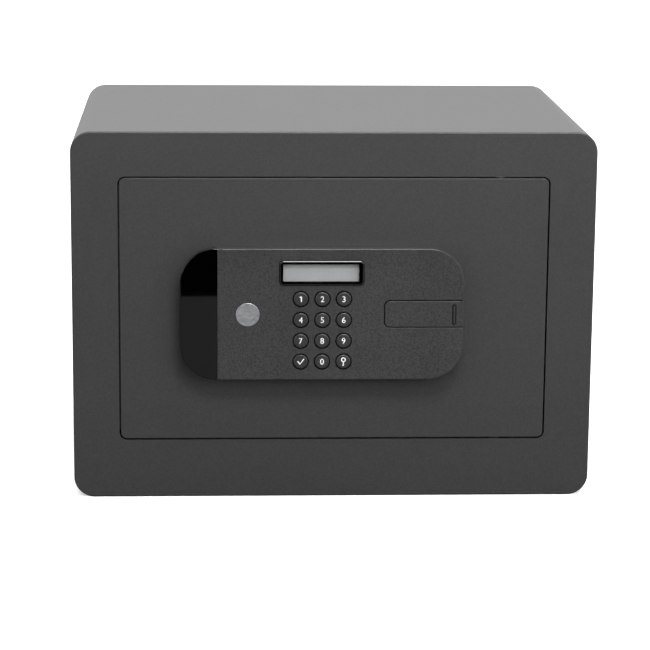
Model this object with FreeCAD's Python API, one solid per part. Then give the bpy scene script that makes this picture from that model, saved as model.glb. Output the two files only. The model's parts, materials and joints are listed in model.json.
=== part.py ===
import FreeCAD, Part
import math
import os

# Electronic in-room safe: a welded steel body and a flush door with a keypad panel.
# Millimetres. X to the right, front towards -Y, Z up.
# The origin is the centre of the body's footprint, on the underside.

Vec = FreeCAD.Vector

# Body
BODY_W = 350.0
BODY_H = 250.0
BODY_D = 250.0
BODY_R = 14.0           # radius of the long edges
SHEET = 2.5             # body sheet thickness
FRONT = -BODY_D / 2     # front face of frame and door
BACK = BODY_D / 2
FRAME_EDGE_R = 1.2      # rounding of the frame's outer front edge
FRAME_REAR = FRONT + SHEET
BACK_INSET = 1.0        # the back plate sits this far inside the shell's rear rim
HALF_W = BODY_W / 2
PAST = 1.0              # how far a cutting tool runs past the face it opens
INNER_X = HALF_W - SHEET
ROOF = BODY_H - SHEET

# Door opening and door plate
OPEN_X = 144.0
OPEN_Z0 = 40.0
OPEN_Z1 = 220.0
OPEN_R = 5.0
DOOR_GAP = 1.0
DOOR_T = 5.0
DOOR_X = OPEN_X - DOOR_GAP
DOOR_Z0 = OPEN_Z0 + DOOR_GAP
DOOR_Z1 = OPEN_Z1 - DOOR_GAP
DOOR_R = OPEN_R - DOOR_GAP
DOOR_EDGE_R = 0.5
DOOR_BACK = FRONT + DOOR_T
MID_Z = (OPEN_Z0 + OPEN_Z1) / 2

# Fixing holes
FIX_R = 6.0
FLOOR_FIX_X = 110.0     # half spacings of the four holes in the base
FLOOR_FIX_Y = 60.0
WALL_FIX_X = 100.0      # half spacing of the two holes in the back
WALL_FIX_Z = 190.0
MAT_T = 3.0
MAT_X = 158.0
MAT_Y0 = -100.0
MAT_Y1 = 118.0
MAT_HOLE_R = 9.0
MAT_CORNER_R = 6.0

# Hinge
PIVOT_X = DOOR_X - 32.0
PIVOT_Y = FRONT + 6.8
PIN_R = 3.0
PIN_FIT = 0.05          # radial running clearance
BUSH_R = 3.8
BUSH_L = 12.0
PIN_IN_DOOR = 19.0      # length of pin held by the door
PIN_IN_BUSH = 11.0      # length of pin inside the bush

HINGE_BLOCK_X = 10.0    # half width of the body's hinge blocks
HINGE_BLOCK_T = 16.0
DOOR_BLOCK_X = 8.0      # half width of the door's hinge blocks
DOOR_BLOCK_T = 9.0
DOOR_BLOCK_H = 21.0
DOOR_BLOCK_R = 2.0
HINGE_GAP = 1.0         # between a hinge block and the edge it stands beside

# Door stops and bolt keeper
STOP_REAR = FRONT + 8.5
STOP_LIP = 5.0          # how far a stop reaches into the opening
SIDE_LIP = 3.0
STOP_GAP = 0.5          # between door plate and stop
STOP_ROOT = 12.0
STOP_X = (-136.0, 84.0)
STOP_END = 6.0          # the side stop is this much shorter than the opening at each end
KEEPER_Z = (66.0, 194.0)
KEEPER_GAP = 0.4        # between keeper and bolt
KEEPER_EDGE_R = 0.8
KEEPER_INSET = 1.0      # from the jamb

# Boltwork
BOLT_R = 9.0
BOLT_Y = -104.0
BOLT_Z = (90.0, 170.0)
BOLT_TIP = -138.0       # tip of a bolt drawn back
BOLT_FIT = 0.06
BOLT_CHAMFER = 1.2
BAR_X = -94.0
BAR_T = 6.0
GUIDE_X = -125.0
GUIDE_T = 5.0
GUIDE_OVER = 15.0       # how far the guide reaches past the bolts' centres
GUIDE_REAR = -91.5
GUIDE_FOOT = 16.0
GUIDE_FOOT_T = 2.5
GUIDE_CORNER_R = 6.0
BAR_OVER = 10.0
BAR_FRONT = BOLT_Y - 8.0
ARM_H = 8.0             # height of the rack arm
RACK_Y0 = -96.0
RACK_Y1 = -90.0
RACK_PITCH_Z = 84.75
RACK_X0 = -76.0         # toothed stretch with the bolts drawn back
RACK_X1 = -38.0
MODULE = 1.0
TEETH = 16
PRESSURE = math.radians(20.0)
ADDENDUM = 0.85
DEDENDUM = 1.25
MESH_GAP = 0.12
TOOTH_PLAY = 0.05       # thinning of each tooth flank
TOOTH_ROOT = 0.2        # how far a rack tooth is let into its arm
ARM_PAST = 4.0          # length of the rack arm past its last tooth
PINION_R = MODULE * TEETH / 2
PINION_X = -66.0
PINION_Z = RACK_PITCH_Z - PINION_R - MESH_GAP
SHAFT_R = 2.5
SHAFT_IN = 8.0          # length of the shaft inside the gearbox
SHAFT_OUT = 3.0         # length of the shaft past the pinion

# Gear motor: gearbox and can behind the door
GEARBOX = (-84.0, -48.0, -117.0, -98.0, 56.0, 88.0)
CAN_R = 9.3
CAN_Y = -107.5
CAN_Z = 72.0
CAN_X1 = -18.0
GEARBOX_R = 2.0
BRACKET_Z = (53.0, 92.5)
BRACKET_OVER = 8.0      # how far the bracket reaches past the gearbox at each side
BRACKET_R = 3.0

# Inner cover of the door
COVER = (-128.0, 92.0, 50.0, 210.0)
COVER_REAR = -75.0
COVER_T = 2.0
COVER_R = 8.0
POSTS = ((-116.0, 61.0), (-116.0, 199.0), (-18.0, 199.0), (80.0, 61.0), (80.0, 199.0), (-8.0, 61.0))
POST_R = 4.5
SCREW_R = 2.0
SCREW_HEAD_R = 3.6
SCREW_HEAD = 2.2
SCREW_HEAD_EDGE = 0.9
RECESS_AT = 1.0         # cross recess: floor above the head's seat, half length, half width
RECESS_L = 1.9
RECESS_W = 0.45
COVER_SCREW_L = 11.0
COVER_EDGE_R = 3.0
BOLT_PORT = 1.0         # radial clearance of the bolts through the inner cover

# Batteries
CELL_R = 7.1
CELL_L = 49.0
CELL_Y = -86.0
CELL_X0 = 13.0
CELL_PITCH = 16.0
CELL_COUNT = 4
CELL_NUB_R = 2.6
CELL_NUB = 1.0
CELL_EDGE_R = 0.6
LET_IN = 0.2            # how far joined solids reach into each other
CELL_MID_Z = MID_Z + 1.0
CONTACT_HALF = (4.5, 5.0)   # half width and half depth of a contact plate
CONTACT_T = 0.6
CONTACT_R = (3.2, 1.8)  # of the spring at its plate and at the cell
HOLDER = (4.0, 70.0, 100.0, 162.0)
HOLDER_FRONT = -95.0
HOLDER_WALL = 1.5
HOLDER_RIB_HALF = 0.5   # half thickness of the ribs between cells
HOLDER_RIB_INSET = 8.0  # from the holder's ends
LID = (3.0, 70.0, 99.0, 163.0)
LID_T = 1.8
LID_GAP = 0.2
LID_AXIS_X = 73.0
LID_BARREL_R = 1.6
LID_AXIS_Y = COVER_REAR + LID_GAP + LID_BARREL_R
LID_PIN_R = 0.8
LID_SEAT = 1.5          # overlap of the lid on the rim of its opening
LUG_L = 3.0
LUG_GAP = 0.3
HATCH_SIDE = 0.5        # overlap of the lid on its hinge side
LID_R = 1.0
TONGUE = (3.0, 5.0, 6.0)    # latch tongue: start and end from the lid's edge, half height
GRIP_PITCH = 2.0        # ribbed thumb grip on the lid
GRIP_W = 0.8
GRIP_HALF_H = 7.0
GRIP_DEPTH = 0.5
GRIP_COUNT = 4

# Keypad panel
PANEL = (-102.8, 86.0, 85.2, 174.1)
PANEL_R = 23.5
PANEL_FRONT = FRONT - 15.0
SEAM_X = -77.9          # left edge of the fascia
PANEL_EDGE_R = 0.6
GLOSS_STEP = 0.8        # the bare grip end is this much lower than the fascia
FASCIA_T = 2.8
FASCIA_REAR = PANEL_FRONT + FASCIA_T
PANEL_WALL = 2.5
PANEL_FLOOR = 2.0
GRIP_T = 4.7
GRIP_WALL_X = SEAM_X - 2.1
GRIP_WALL_T = 4.5
GRIP_REAR = PANEL_FRONT + GLOSS_STEP + GRIP_T
PANEL_SCREWS = ((-69.0, 99.0), (-69.0, 160.0), (72.0, 101.0), (72.0, 158.0))
BOSS_R = 4.0
BOSS_GAP = 0.2          # between a boss and the fascia

# Keys
KEY_X = (-22.6, -8.3, 6.0)
KEY_Z = (140.3, 126.1, 111.9, 97.7)
KEY_NAMES = (("key_1", "key_2", "key_3"),
             ("key_4", "key_5", "key_6"),
             ("key_7", "key_8", "key_9"),
             ("key_enter", "key_0", "key_menu"))
KEY_HOLE_R = 5.6
KEY_CAP_R = 4.85
KEY_EDGE_R = 0.9        # rounding of a cap's rim
KEY_DISH_R = 3.8
KEY_DISH = 0.15
KEY_FLANGE_R = 6.2
KEY_PROUD = 0.8
KEY_FLANGE_T = 1.2
FLANGE_GAP = 0.2        # between the fascia and a key's flange at rest
KEY_TRAVEL = 0.9

# Display
BEZEL = (-36.9, 19.3, 149.4, 166.4)
BEZEL_R = 2.6
BEZEL_EDGE_R = 1.2
WINDOW = (-34.4, 15.9, 152.2, 163.9)
WINDOW_LAND = 0.9       # overlap of the clear window behind the bezel
BEZEL_PROUD = 0.9
BEZEL_SEAT = 0.8
BEZEL_FIT = 0.25        # groove round the bezel
SCREEN_DEPTH = 2.4      # of the display's face behind the front of the fascia
SCREEN_OVER = 0.4       # how far the screen reaches past the window's edges
MODULE_OVER = (3.5, 2.6)    # the display's body past the window, sideways and upwards
WINDOW_REAR = 2.0       # back of the clear window behind the front of the fascia
WINDOW_R = 0.8
WINDOW_FIT = 0.2
OPENING_R = 0.6         # corners of the bezel's opening

# Badge
BADGE_X = -57.9
BADGE_Z = 129.7
BADGE_R = 7.9
BADGE_PROUD = 0.3
BADGE_SEAT = 0.9

# Override lock and its sliding cover
LOCK_X = 46.0
LOCK_Z = 130.0
SLOT = (32.9, 120.6, 139.4)
SLOT_R = 4.0
SLOT_GAP = 0.6
SLOT_EDGE = 0.3         # broken edges of the slot and of the cover
SLIDE_FLANGE = 1.8      # height of the guide lip above and below the cover
SLIDE_FLANGE_T = 0.9
SLIDE_GAP = 0.1         # between the cover's guide lips and the fascia
SLIDE_FIT = 0.3         # between the cover's guide lips and the tray's notch
SLIDE_INSET = (2.0, 4.5, 0.4)   # ends of the lips and of the bridge inside the slot, both ends in the edge
BRIDGE_HALF = 0.5       # half thickness of the web that joins the cover's face to its lips
RIB_X = 79.7
RIB_Z = (123.4, 135.8)
RIB_R = 0.65
RIB_PROUD = 0.6
RIB_MOAT = 0.75         # width of the sunk edge round the rib
RIB_MOAT_DEPTH = 1.3
WELL = (30.6, 64.0, 117.7, 142.3)
WELL_FLOOR = FRONT - PANEL_FLOOR
WELL_WALL = 1.5
WELL_TOP = FASCIA_REAR + SLIDE_FLANGE_T + 0.4
PANEL_SCREW_L = 8.0
CYL_R = 8.0
CYL_FLANGE_R = 9.5
CYL_FLANGE_T = 1.5
NUT_R = 12.0
NUT_T = 4.5
KEYWAY = (1.0, 3.8, 22.0)   # half width, half height and depth
PLUG_R = 5.0
PLUG_FIT = 0.05
CYL_REAR = -102.0
CAM_T = 3.0
CAM_L = 15.0
CAM_HALF_W = 3.0
CAM_END_R = 2.5
CAM_HUB_R = PLUG_R + 1.5
PLUG_PAST = 0.2         # how far the plug reaches past the cylinder's rear

# Circuit board and key mat
BOARD = (-73.0, 29.0, 91.0, 167.0)
BOARD_Y0 = -131.0
BOARD_Y1 = -129.4
CHIPS = ((-60.0, -46.0, 118.0, 132.0, 2.0),
         (-62.0, -40.0, 142.0, 150.0, 4.0),
         (-60.0, -50.0, 100.0, 106.0, 3.0))
MAT_SHEET = 1.0         # thickness of the key mat between its domes
MAT_MARGIN = 7.0
DOME_GAP = 0.15
DOME_R = (3.0, 4.2)     # of a dome at its top and at its foot
BOARD_R = 6.0
BOARD_HOLE_R = BOSS_R + 0.5
CABLE_R = 2.0
CABLE_ROUTE = ((0.0, BOARD_Y1, 150.0), (0.0, CAN_Y, 150.0), (0.0, CAN_Y, CAN_Z), (CAN_X1, CAN_Y, CAN_Z))
CABLE_HOLE_R = 4.0


def box(x0, x1, y0, y1, z0, z1):
    return Part.makeBox(x1 - x0, y1 - y0, z1 - z0, Vec(x0, y0, z0))


def rod_x(y, z, radius, x0, x1):
    return Part.makeCylinder(radius, x1 - x0, Vec(x0, y, z), Vec(1, 0, 0))


def rod_y(x, z, radius, y0, y1):
    return Part.makeCylinder(radius, y1 - y0, Vec(x, y0, z), Vec(0, 1, 0))


def rod_z(x, y, radius, z0, z1):
    return Part.makeCylinder(radius, z1 - z0, Vec(x, y, z0), Vec(0, 0, 1))


def along(edge, axis):
    """True for a straight edge that runs along an axis."""
    if not isinstance(edge.Curve, (Part.Line, Part.LineSegment)):
        return False
    return abs(edge.tangentAt(edge.FirstParameter).dot(axis)) > 0.999


def rounded(x0, x1, z0, z1, radius, y0, y1):
    """Rounded rectangle seen from the front, given depth y0 to y1."""
    block = box(x0, x1, y0, y1, z0, z1)
    corners = [e for e in block.Edges if along(e, Vec(0, 1, 0))]
    return block.makeFillet(radius, corners)


def soften(shape, radius, wanted):
    """Fillet the edges that the test picks."""
    return shape.makeFillet(radius, [e for e in shape.Edges if wanted(e)])


def at_depth(y):
    """Edge test: the whole edge lies in the plane of that depth."""
    def wanted(edge):
        bounds = edge.BoundBox
        return abs(bounds.YMin - y) < 1e-4 and abs(bounds.YMax - y) < 1e-4
    return wanted


def rear_edges(axis, y):
    """Edge test: straight along an axis and wholly behind a depth."""
    return lambda edge: along(edge, axis) and edge.BoundBox.YMin > y


def cut_all(shape, tools):
    for tool in tools:
        shape = shape.cut(tool)
    return shape


def join(shapes):
    result = shapes[0]
    for shape in shapes[1:]:
        result = result.fuse(shape)
    return result.removeSplitter()


def save(name, shape):
    if shape.ShapeType == "Compound" and len(shape.Solids) == 1:
        shape = shape.Solids[0]
    shape.exportStep("parts/%s.step" % name)


def group(shapes):
    """Identical separate pieces kept in one node."""
    return Part.makeCompound([s.Solids[0] for s in shapes])


# Body

def body_shell():
    outer = rounded(-HALF_W, HALF_W, 0, BODY_H, BODY_R, FRAME_REAR, BACK)
    inner = rounded(-INNER_X, INNER_X, SHEET, ROOF, BODY_R - SHEET, FRAME_REAR - 1, BACK + 1)
    holes = [rod_z(x, y, FIX_R, -1, SHEET + 1)
             for x in (-FLOOR_FIX_X, FLOOR_FIX_X) for y in (-FLOOR_FIX_Y, FLOOR_FIX_Y)]
    return cut_all(outer, [inner] + holes)


def front_frame():
    plate = rounded(-HALF_W, HALF_W, 0, BODY_H, BODY_R, FRONT, FRAME_REAR)
    plate = soften(plate, FRAME_EDGE_R, at_depth(FRONT))
    return plate.cut(rounded(-OPEN_X, OPEN_X, OPEN_Z0, OPEN_Z1, OPEN_R, FRONT - 1, FRAME_REAR + 1))


def back_plate():
    rear = BACK - BACK_INSET
    plate = rounded(-INNER_X, INNER_X, SHEET, ROOF, BODY_R - SHEET, rear - SHEET, rear)
    holes = [rod_y(x, WALL_FIX_Z, FIX_R, rear - SHEET - 1, BACK) for x in (-WALL_FIX_X, WALL_FIX_X)]
    return cut_all(plate, holes)


def floor_mat():
    mat = box(-MAT_X, MAT_X, MAT_Y0, MAT_Y1, SHEET, SHEET + MAT_T)
    mat = soften(mat, MAT_CORNER_R, lambda e: along(e, Vec(0, 0, 1)))
    holes = [rod_z(x, y, MAT_HOLE_R, 0, SHEET + MAT_T + 1)
             for x in (-FLOOR_FIX_X, FLOOR_FIX_X) for y in (-FLOOR_FIX_Y, FLOOR_FIX_Y)]
    return cut_all(mat, holes)


def stop_level(edge_z, side):
    """Top (side 1) or bottom (side -1) stop: a strip behind the frame with a lip behind the door."""
    x0, x1 = STOP_X
    root = sorted((edge_z, edge_z + side * STOP_ROOT))
    lip = sorted((edge_z, edge_z - side * STOP_LIP))
    strip = box(x0, x1, FRAME_REAR, STOP_REAR, root[0], root[1])
    return join([strip, box(x0, x1, DOOR_BACK + STOP_GAP, STOP_REAR, lip[0], lip[1])])


def stop_left():
    z0, z1 = OPEN_Z0 + STOP_END, OPEN_Z1 - STOP_END
    root = box(-OPEN_X - STOP_ROOT, -OPEN_X, FRAME_REAR, STOP_REAR, z0, z1)
    lip = box(-OPEN_X, -OPEN_X + SIDE_LIP, DOOR_BACK + STOP_GAP, STOP_REAR, z0, z1)
    return join([root, lip])


def bolt_keeper():
    """Wear bar behind the lock-side jamb, which the extended bolts pass close behind."""
    rear = BOLT_Y - BOLT_R - KEEPER_GAP
    bar = box(-OPEN_X - STOP_ROOT, -OPEN_X - KEEPER_INSET, STOP_REAR, rear, *KEEPER_Z)
    return soften(bar, KEEPER_EDGE_R, rear_edges(Vec(0, 0, 1), STOP_REAR + 1))


def hinge_block(z0, z1, bush_z0):
    x0, x1 = PIVOT_X - HINGE_BLOCK_X, PIVOT_X + HINGE_BLOCK_X
    block = box(x0, x1, FRAME_REAR, FRONT + HINGE_BLOCK_T, z0, z1)
    return block.cut(rod_z(PIVOT_X, PIVOT_Y, BUSH_R, bush_z0, bush_z0 + BUSH_L))


def upper_hinge_block():
    z0 = OPEN_Z1 + HINGE_GAP
    return hinge_block(z0, ROOF, z0)


def lower_hinge_block():
    z1 = OPEN_Z0 - HINGE_GAP
    return hinge_block(SHEET, z1, z1 - BUSH_L)


def hinge_bushes():
    starts = (OPEN_Z1 + HINGE_GAP, OPEN_Z0 - HINGE_GAP - BUSH_L)
    bushes = []
    for z0 in starts:
        bush = rod_z(PIVOT_X, PIVOT_Y, BUSH_R, z0, z0 + BUSH_L)
        bushes.append(bush.cut(rod_z(PIVOT_X, PIVOT_Y, PIN_R + PIN_FIT, z0 - 1, z0 + BUSH_L + 1)))
    return group(bushes)


# Door

def hinge_pins():
    top, bottom = OPEN_Z1 + HINGE_GAP + PIN_IN_BUSH, OPEN_Z0 - HINGE_GAP - PIN_IN_BUSH
    upper = rod_z(PIVOT_X, PIVOT_Y, PIN_R, DOOR_Z1 - PIN_IN_DOOR, top)
    lower = rod_z(PIVOT_X, PIVOT_Y, PIN_R, bottom, DOOR_Z0 + PIN_IN_DOOR)
    return group([upper, lower])


def door_plate():
    plate = rounded(-DOOR_X, DOOR_X, DOOR_Z0, DOOR_Z1, DOOR_R, FRONT, DOOR_BACK)
    plate = soften(plate, DOOR_EDGE_R, at_depth(FRONT))
    cuts = [rod_z(PIVOT_X, PIVOT_Y, PIN_R, DOOR_Z1 - PIN_IN_DOOR, DOOR_Z1 + 1),
            rod_z(PIVOT_X, PIVOT_Y, PIN_R, DOOR_Z0 - 1, DOOR_Z0 + PIN_IN_DOOR),
            rod_y(LOCK_X, LOCK_Z, CYL_R, FRONT - 1, DOOR_BACK + 1),
            rod_y(CABLE_ROUTE[0][0], CABLE_ROUTE[0][2], CABLE_HOLE_R, FRONT - 1, DOOR_BACK + 1)]
    cuts += [rod_y(x, z, SCREW_R, FRONT - 1, DOOR_BACK + 1) for x, z in PANEL_SCREWS]
    return cut_all(plate, cuts)


def door_hinge_blocks():
    blocks = []
    inset = 2 * HINGE_GAP
    for z0 in (DOOR_Z1 - inset - DOOR_BLOCK_H, DOOR_Z0 + inset):
        block = box(PIVOT_X - DOOR_BLOCK_X, PIVOT_X + DOOR_BLOCK_X, DOOR_BACK, DOOR_BACK + DOOR_BLOCK_T,
                    z0, z0 + DOOR_BLOCK_H)
        block = soften(block, DOOR_BLOCK_R, rear_edges(Vec(0, 0, 1), DOOR_BACK + 1))
        blocks.append(block)
    pins = hinge_pins()
    return group([cut_all(b, pins.Solids) for b in blocks])


def bolt_guide():
    """Angle on the door whose upright plate guides both bolts."""
    z0, z1 = BOLT_Z[0] - GUIDE_OVER, BOLT_Z[1] + GUIDE_OVER
    upright = box(GUIDE_X, GUIDE_X + GUIDE_T, DOOR_BACK, GUIDE_REAR, z0, z1)
    upright = soften(upright, GUIDE_CORNER_R, rear_edges(Vec(1, 0, 0), GUIDE_REAR - 1))
    foot = box(GUIDE_X, GUIDE_X + GUIDE_FOOT, DOOR_BACK, DOOR_BACK + GUIDE_FOOT_T, z0, z1)
    bores = [rod_x(BOLT_Y, z, BOLT_R + BOLT_FIT, GUIDE_X - 1, GUIDE_X + GUIDE_T + 1) for z in BOLT_Z]
    return cut_all(join([upright, foot]), bores)


def locking_bolts():
    bolts = []
    for z in BOLT_Z:
        bolt = rod_x(BOLT_Y, z, BOLT_R, BOLT_TIP, BAR_X)
        bolt = bolt.makeChamfer(BOLT_CHAMFER, [e for e in bolt.Edges if e.BoundBox.XMax < BOLT_TIP + 0.01])
        bolts.append(bolt)
    return group(bolts)


def rack_teeth():
    """Straight-flanked teeth on the underside of the rack arm."""
    pitch = math.pi * MODULE
    teeth = []
    first = math.ceil((RACK_X0 - PINION_X) / pitch - 0.5)
    last = math.floor((RACK_X1 - PINION_X) / pitch - 0.5)
    for i in range(first, last + 1):
        x = PINION_X + (i + 0.5) * pitch
        tip = pitch / 4 - TOOTH_PLAY - ADDENDUM * math.tan(PRESSURE)
        root = pitch / 4 - TOOTH_PLAY + (DEDENDUM + TOOTH_ROOT) * math.tan(PRESSURE)
        z_tip = RACK_PITCH_Z - ADDENDUM
        z_root = RACK_PITCH_Z + DEDENDUM + TOOTH_ROOT
        outline = [(x - root, z_root), (x - tip, z_tip), (x + tip, z_tip), (x + root, z_root)]
        points = [Vec(px, RACK_Y0, pz) for px, pz in outline]
        face = Part.Face(Part.makePolygon(points + points[:1]))
        teeth.append(face.extrude(Vec(0, RACK_Y1 - RACK_Y0, 0)))
    return teeth


def bolt_carriage():
    """Upright bar that holds both bolts, with the rack arm."""
    bar = box(BAR_X, BAR_X + BAR_T, BAR_FRONT, RACK_Y1, BOLT_Z[0] - BAR_OVER, BOLT_Z[1] + BAR_OVER)
    root = RACK_PITCH_Z + DEDENDUM
    arm = box(BAR_X, RACK_X1 + ARM_PAST, RACK_Y0, RACK_Y1, root, root + ARM_H)
    return join([bar, arm] + rack_teeth())


def involute(base_r, angle):
    """Point of an involute of a circle of base_r, unrolled by angle."""
    return (base_r * (math.cos(angle) + angle * math.sin(angle)),
            base_r * (math.sin(angle) - angle * math.cos(angle)))


def turned(point, angle):
    c, s = math.cos(angle), math.sin(angle)
    return (point[0] * c - point[1] * s, point[0] * s + point[1] * c)


def pinion_outline():
    """Closed outline of the drive pinion, one tooth at the top of the wheel."""
    base_r = PINION_R * math.cos(PRESSURE)
    root_r = PINION_R - DEDENDUM * MODULE
    tip_r = PINION_R + ADDENDUM * MODULE
    backlash = TOOTH_PLAY / PINION_R
    at_pitch = math.tan(PRESSURE) - PRESSURE
    half_tooth = math.pi / (2 * TEETH) - backlash + at_pitch
    tip_angle = math.sqrt((tip_r / base_r) ** 2 - 1)
    steps = 5
    flank = [involute(base_r, tip_angle * i / steps) for i in range(steps + 1)]
    points = []
    for tooth in range(TEETH):
        centre = math.pi / 2 + tooth * 2 * math.pi / TEETH
        points.append(turned((root_r, 0), centre - half_tooth))
        points += [turned(p, centre - half_tooth) for p in flank]
        points += [turned((p[0], -p[1]), centre + half_tooth) for p in reversed(flank)]
        points.append(turned((root_r, 0), centre + half_tooth))
    return points


def drive_pinion():
    points = [Vec(PINION_X + px, RACK_Y0, PINION_Z + pz) for px, pz in pinion_outline()]
    face = Part.Face(Part.makePolygon(points + points[:1]))
    wheel = face.extrude(Vec(0, RACK_Y1 - RACK_Y0, 0))
    shaft = rod_y(PINION_X, PINION_Z, SHAFT_R, GEARBOX[3] - SHAFT_IN, RACK_Y1 + SHAFT_OUT)
    return join([wheel, shaft])


def gear_motor():
    x0, x1, y0, y1, z0, z1 = GEARBOX
    gearbox = box(x0, x1, y0, y1, z0, z1)
    gearbox = soften(gearbox, GEARBOX_R, lambda e: along(e, Vec(0, 1, 0)))
    gearbox = gearbox.cut(rod_y(PINION_X, PINION_Z, SHAFT_R + PIN_FIT, y1 - SHAFT_IN - PAST, y1 + PAST))
    can = rod_x(CAN_Y, CAN_Z, CAN_R, x1 - 1, CAN_X1)
    return join([gearbox, can])


def motor_bracket():
    x0, x1 = GEARBOX[0] - BRACKET_OVER, GEARBOX[1] + BRACKET_OVER
    return rounded(x0, x1, BRACKET_Z[0], BRACKET_Z[1], BRACKET_R, DOOR_BACK, GEARBOX[2])


def screw(x, z, y_under_head, y_tip):
    """Pan-head screw that enters towards the front."""
    head = rod_y(x, z, SCREW_HEAD_R, y_under_head, y_under_head + SCREW_HEAD)
    head = soften(head, SCREW_HEAD_EDGE, at_depth(y_under_head + SCREW_HEAD))
    shank = rod_y(x, z, SCREW_R, y_tip, y_under_head)
    y0, y1 = y_under_head + RECESS_AT, y_under_head + SCREW_HEAD + PAST
    recess = join([box(x - RECESS_L, x + RECESS_L, y0, y1, z - RECESS_W, z + RECESS_W),
                   box(x - RECESS_W, x + RECESS_W, y0, y1, z - RECESS_L, z + RECESS_L)])
    return join([head, shank]).cut(recess)


def cover_posts():
    posts = []
    for x, z in POSTS:
        post = rod_y(x, z, POST_R, DOOR_BACK, COVER_REAR - COVER_T)
        bore = rod_y(x, z, SCREW_R, COVER_REAR - COVER_SCREW_L - PAST, COVER_REAR)
        posts.append(post.cut(bore))
    return group(posts)


def inner_cover_screws():
    return group([screw(x, z, COVER_REAR, COVER_REAR - COVER_SCREW_L) for x, z in POSTS])


def lid_lugs():
    """Hinge lugs of the battery lid, standing on the inner cover."""
    lugs = []
    for z0 in (LID[2] - LUG_GAP - LUG_L, LID[3] + LUG_GAP):
        lug = rod_z(LID_AXIS_X, LID_AXIS_Y, LID_BARREL_R, z0, z0 + LUG_L)
        foot = box(LID_AXIS_X - LID_BARREL_R, LID_AXIS_X + LID_BARREL_R, COVER_REAR - 0.5, LID_AXIS_Y,
                   z0, z0 + LUG_L)
        lugs.append(join([lug, foot]))
    return lugs


def lid_pin():
    return rod_z(LID_AXIS_X, LID_AXIS_Y, LID_PIN_R, LID[2] - LUG_GAP - LUG_L, LID[3] + LUG_GAP + LUG_L)


def inner_cover():
    x0, x1, z0, z1 = COVER
    tray = rounded(x0, x1, z0, z1, COVER_R, DOOR_BACK, COVER_REAR)
    tray = soften(tray, COVER_EDGE_R, at_depth(COVER_REAR))
    hollow = rounded(x0 + COVER_T, x1 - COVER_T, z0 + COVER_T, z1 - COVER_T, COVER_R - COVER_T,
                     DOOR_BACK - 1, COVER_REAR - COVER_T)
    hatch = box(LID[0] + LID_SEAT, LID[1] - HATCH_SIDE, COVER_REAR - COVER_T - PAST, COVER_REAR + PAST,
                LID[2] + LID_SEAT, LID[3] - LID_SEAT)
    cuts = [hollow, hatch]
    cuts += [rod_x(BOLT_Y, z, BOLT_R + BOLT_PORT, x0 - PAST, x0 + COVER_T + PAST) for z in BOLT_Z]
    cuts += [rod_y(x, z, SCREW_R, COVER_REAR - 4, COVER_REAR + 1) for x, z in POSTS]
    cover = join([cut_all(tray, cuts)] + lid_lugs())
    return cover.cut(lid_pin())


def battery_cover():
    x0, x1, z0, z1 = LID
    y0 = COVER_REAR + LID_GAP
    lid = rounded(x0, LID_AXIS_X, z0, z1, LID_R, y0, y0 + LID_T)
    barrel = rod_z(LID_AXIS_X, LID_AXIS_Y, LID_BARREL_R, z0, z1)
    start, end, half_h = TONGUE
    tongue = box(x0 + start, x0 + end, COVER_REAR - COVER_T + LID_GAP, y0 + LID_T / 2,
                 MID_Z - half_h, MID_Z + half_h)
    lid = join([lid, barrel, tongue])
    grip_x = [x0 + LID_SEAT + GRIP_PITCH * (i + 0.5) for i in range(GRIP_COUNT)]
    grips = [box(x, x + GRIP_W, y0 + LID_T - GRIP_DEPTH, y0 + LID_T + PAST,
                 MID_Z - GRIP_HALF_H, MID_Z + GRIP_HALF_H) for x in grip_x]
    bore = rod_z(LID_AXIS_X, LID_AXIS_Y, LID_PIN_R + PIN_FIT, z0 - PAST, z1 + PAST)
    return cut_all(lid, grips + [bore])


def battery_holder():
    x0, x1, z0, z1 = HOLDER
    tray = box(x0, x1, HOLDER_FRONT, COVER_REAR - COVER_T, z0, z1)
    hollow = box(x0 + HOLDER_WALL, x1 - HOLDER_WALL, HOLDER_FRONT + HOLDER_WALL, COVER_REAR,
                 z0 + HOLDER_WALL, z1 - HOLDER_WALL)
    tray = tray.cut(hollow)
    ribs = []
    for i in range(CELL_COUNT - 1):
        middle = cell_x(i) + CELL_PITCH / 2
        ribs.append(box(middle - HOLDER_RIB_HALF, middle + HOLDER_RIB_HALF,
                        HOLDER_FRONT + HOLDER_WALL - LET_IN, CELL_Y - 1.0,
                        z0 + HOLDER_RIB_INSET, z1 - HOLDER_RIB_INSET))
    return join([tray] + ribs)


def cell_x(i):
    return CELL_X0 + i * CELL_PITCH


def battery(i):
    """AA cell on end; neighbours point opposite ways."""
    z0 = CELL_MID_Z - (CELL_L + CELL_NUB) / 2
    up = i % 2 == 0
    can_z0 = z0 if up else z0 + CELL_NUB
    can = rod_z(cell_x(i), CELL_Y, CELL_R, can_z0, can_z0 + CELL_L)
    can = soften(can, CELL_EDGE_R, lambda e: not along(e, Vec(0, 0, 1)))
    nub_z0 = can_z0 + CELL_L - LET_IN if up else z0
    nub = rod_z(cell_x(i), CELL_Y, CELL_NUB_R, nub_z0, nub_z0 + CELL_NUB + LET_IN)
    return join([can, nub])


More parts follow.
